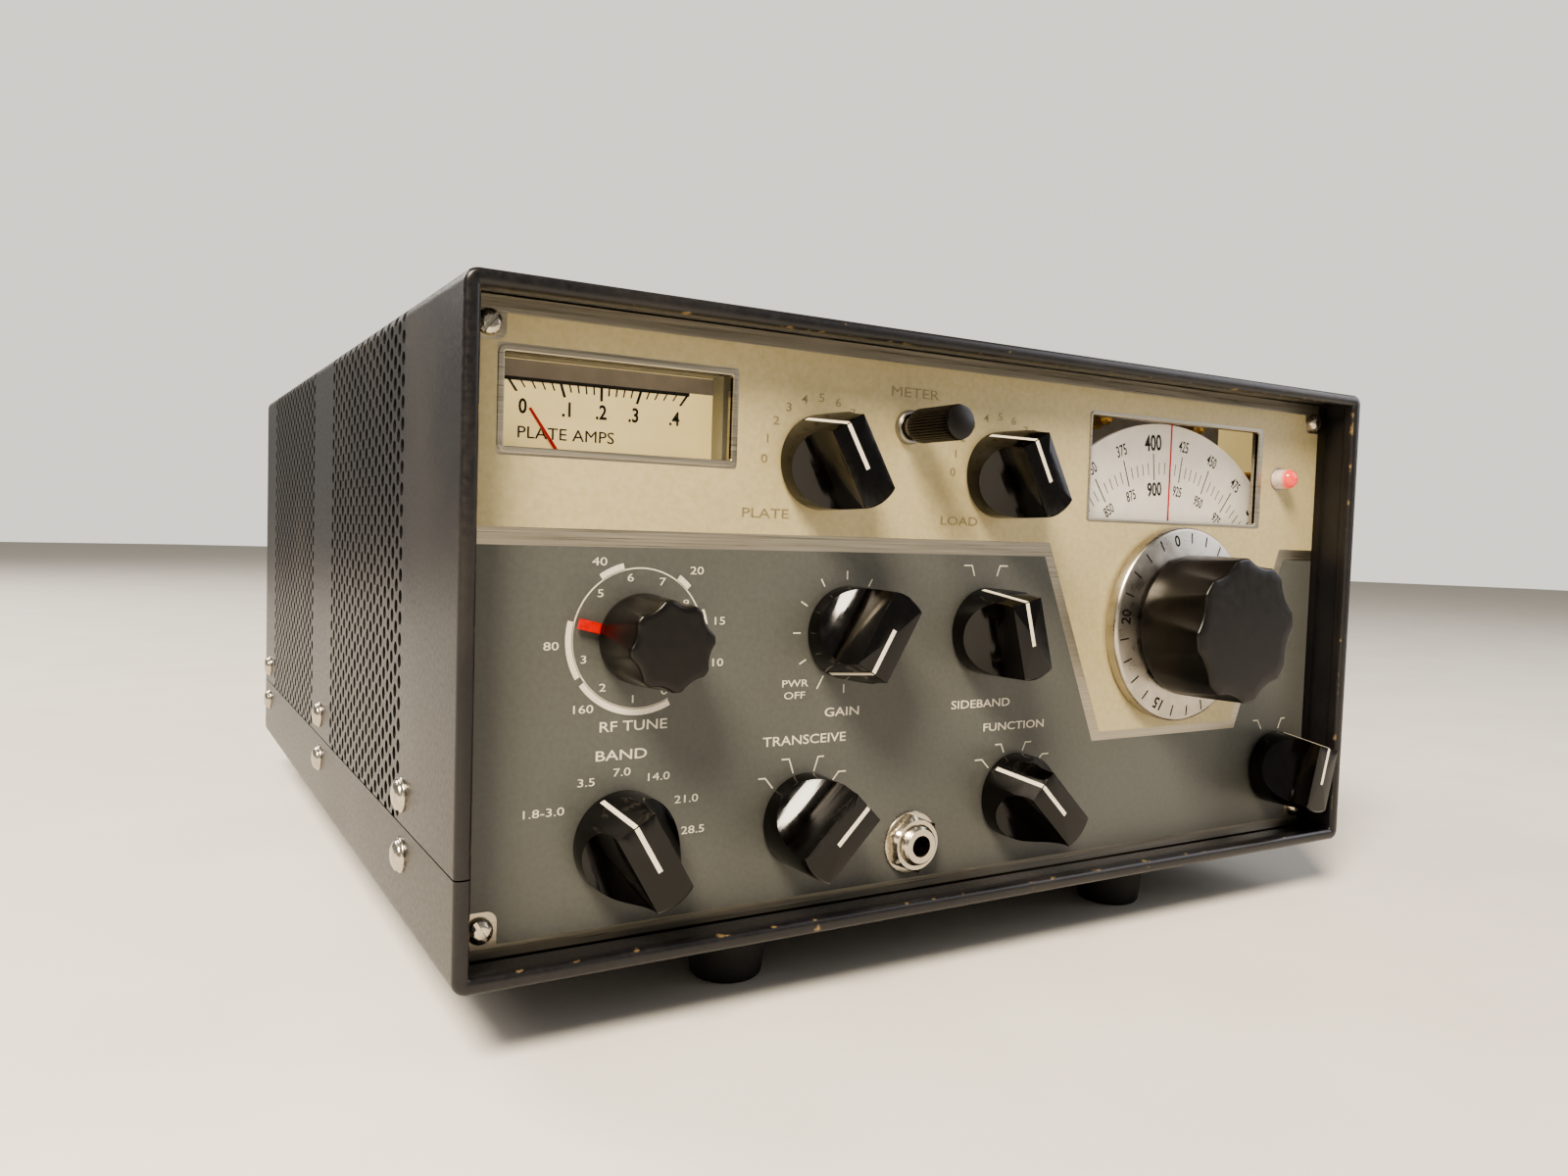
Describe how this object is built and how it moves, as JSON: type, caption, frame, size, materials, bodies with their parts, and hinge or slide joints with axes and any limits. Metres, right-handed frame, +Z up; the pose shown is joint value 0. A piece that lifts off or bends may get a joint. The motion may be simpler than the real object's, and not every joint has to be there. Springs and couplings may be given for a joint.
{
  "type": "ham radio transmitter",
  "caption": "Tabletop amateur-radio transmitter: dark wrap-round cabinet, recessed metal panel with meter, tuning dial, large fluted tuning knob, bar knobs and rear sockets.",
  "frame": {"origin": "on the table, under the centre of the whole object, feet included", "axes": "+X to the operator's right, +Y from front to back, +Z up"},
  "size_m": [0.2776, 0.328, 0.1529],
  "materials": {
    "cabinet_paint": "semi-gloss charcoal paint",
    "plated_hardware": "nickel plated",
    "foot_rubber": "matte",
    "panel_finish": "etched and painted aluminium",
    "steel_plate": "plated",
    "lamp_glass": "clear",
    "pilot_lens": "clear red",
    "clear_plastic": "clear",
    "case_plastic": "moulded",
    "meter_face": "printed cream",
    "magnet_iron": "dark",
    "needle_red": "painted red",
    "dial_white": "printed white",
    "knob_black": "polished black",
    "skirt_aluminium": "turned",
    "shaft_steel": "ground",
    "shielding": "satin",
    "pointer_red": "painted red",
    "coil_form": "brown tube with enamelled wire",
    "capacitor_plate": "satin",
    "switch_phenolic": "phenolic",
    "chassis_plating": "copper plated",
    "tube_glass": "clear with dark getter"
  },
  "bodies": {
    "root": {"amplifier_cage": "steel_plate", "amplifier_tubes": "tube_glass", "antenna_socket": "plated_hardware", "bottom_cover": "cabinet_paint", "chassis": "chassis_plating", "coil_cans": "shielding", "control_nuts": "plated_hardware", "dial_window": "clear_plastic", "foot_screws": "plated_hardware", "front_panel": "panel_finish", "gain_control": "steel_plate", "load_stator": "capacitor_plate", "meter_case": "case_plastic", "meter_lens": "clear_plastic", "meter_movement": "magnet_iron", "meter_scale": "meter_face", "meter_switch_body": "case_plastic", "mic_jack": "plated_hardware", "mic_jack_nut": "plated_hardware", "oscillator_housing": "shielding", "panel_lamps": "lamp_glass", "panel_screws": "plated_hardware", "pilot_lens": "pilot_lens", "plate_stator": "capacitor_plate", "power_connector": "case_plastic", "rear_jacks": "plated_hardware", "rf_coil_forms": "coil_form", "rotary_switches": "switch_phenolic", "rubber_feet": "foot_rubber", "side_screws": "plated_hardware", "small_tubes": "tube_glass", "sub_panel": "steel_plate", "top_cover": "cabinet_paint"},
    "meter_needle": {"meter_needle": "needle_red"},
    "dial_disc": {"dial_disc": "dial_white"},
    "tuning": {"tuning_knob": "knob_black", "tuning_shaft": "shaft_steel"},
    "tuning_skirt": {"tuning_skirt": "skirt_aluminium"},
    "rf_tune": {"rf_tune_knob": "knob_black", "rf_tune_pointer": "pointer_red", "rf_tune_shaft": "shaft_steel"},
    "slug_rack": {"slug_rack": "shielding"},
    "plate": {"plate_knob": "knob_black", "plate_rotor": "capacitor_plate"},
    "load": {"load_knob": "knob_black", "load_rotor": "capacitor_plate"},
    "gain": {"gain_knob": "knob_black", "gain_shaft": "shaft_steel"},
    "sideband": {"sideband_knob": "knob_black", "sideband_shaft": "shaft_steel"},
    "band": {"band_knob": "knob_black", "band_shaft": "shaft_steel"},
    "transceive": {"transceive_knob": "knob_black", "transceive_shaft": "shaft_steel"},
    "function": {"function_knob": "knob_black", "function_shaft": "shaft_steel"},
    "crystal": {"crystal_knob": "knob_black", "crystal_shaft": "shaft_steel"},
    "meter_switch": {"meter_switch_lever": "plated_hardware", "meter_switch_cap": "knob_black"}
  },
  "joints": [
    {"name": "meter_needle_swing", "type": "hinge", "parent": "root", "child": "meter_needle", "pos_m": [-0.1019, -0.1316, 0.1069], "axis": [0, 1, 0], "range_deg": [0, 72], "stiffness_Nm_per_rad": 0.00002, "springref_deg": -34.38},
    {"name": "tuning_turn", "type": "hinge", "parent": "root", "child": "tuning", "pos_m": [0.0695, -0.145, 0.0833], "axis": [0, 1, 0], "range_deg": [-1296, 5904]},
    {"name": "dial_turn", "type": "hinge", "parent": "root", "child": "dial_disc", "pos_m": [0.0695, -0.133, 0.0833], "axis": [0, 1, 0], "range_deg": [-52, 237]},
    {"name": "skirt_slip", "type": "hinge", "parent": "tuning", "child": "tuning_skirt", "pos_m": [0.0695, -0.142, 0.0833], "axis": [0, 1, 0], "continuous": true},
    {"name": "rf_tune_turn", "type": "hinge", "parent": "root", "child": "rf_tune", "pos_m": [-0.0956, -0.145, 0.0825], "axis": [0, 1, 0], "range_deg": [-132, 198]},
    {"name": "core_travel", "type": "slide", "parent": "root", "child": "slug_rack", "axis": [0, 0, 1], "range_m": [-0.0081, 0.0121]},
    {"name": "plate_turn", "type": "hinge", "parent": "root", "child": "plate", "pos_m": [-0.0518, -0.145, 0.1221], "axis": [0, 1, 0], "range_deg": [-60, 120]},
    {"name": "load_turn", "type": "hinge", "parent": "root", "child": "load", "pos_m": [0.0019, -0.145, 0.122], "axis": [0, 1, 0], "range_deg": [-62, 118]},
    {"name": "gain_turn", "type": "hinge", "parent": "root", "child": "gain", "pos_m": [-0.0431, -0.145, 0.0829], "axis": [0, 1, 0], "range_deg": [0, 300]},
    {"name": "sideband_turn", "type": "hinge", "parent": "root", "child": "sideband", "pos_m": [-0.0008, -0.145, 0.0825], "axis": [0, 1, 0], "range_deg": [0, 30]},
    {"name": "band_turn", "type": "hinge", "parent": "root", "child": "band", "pos_m": [-0.0986, -0.145, 0.0395], "axis": [0, 1, 0], "range_deg": [-30, 120]},
    {"name": "transceive_turn", "type": "hinge", "parent": "root", "child": "transceive", "pos_m": [-0.0534, -0.145, 0.0395], "axis": [0, 1, 0], "range_deg": [-90, 0]},
    {"name": "function_turn", "type": "hinge", "parent": "root", "child": "function", "pos_m": [0.0109, -0.145, 0.0395], "axis": [0, 1, 0], "range_deg": [0, 90]},
    {"name": "crystal_turn", "type": "hinge", "parent": "root", "child": "crystal", "pos_m": [0.1167, -0.145, 0.0385], "axis": [0, 1, 0], "range_deg": [-60, 60]},
    {"name": "meter_switch_tip", "type": "hinge", "parent": "root", "child": "meter_switch", "pos_m": [-0.0268, -0.139, 0.132], "axis": [0, 0, 1], "range_deg": [-12, 12]}
  ],
  "couplings": [
    {"joint": "dial_turn", "follows": "tuning_turn", "ratio": 0.04},
    {"joint": "core_travel", "follows": "rf_tune_turn", "m_per_rad": 0.0034725}
  ]
}
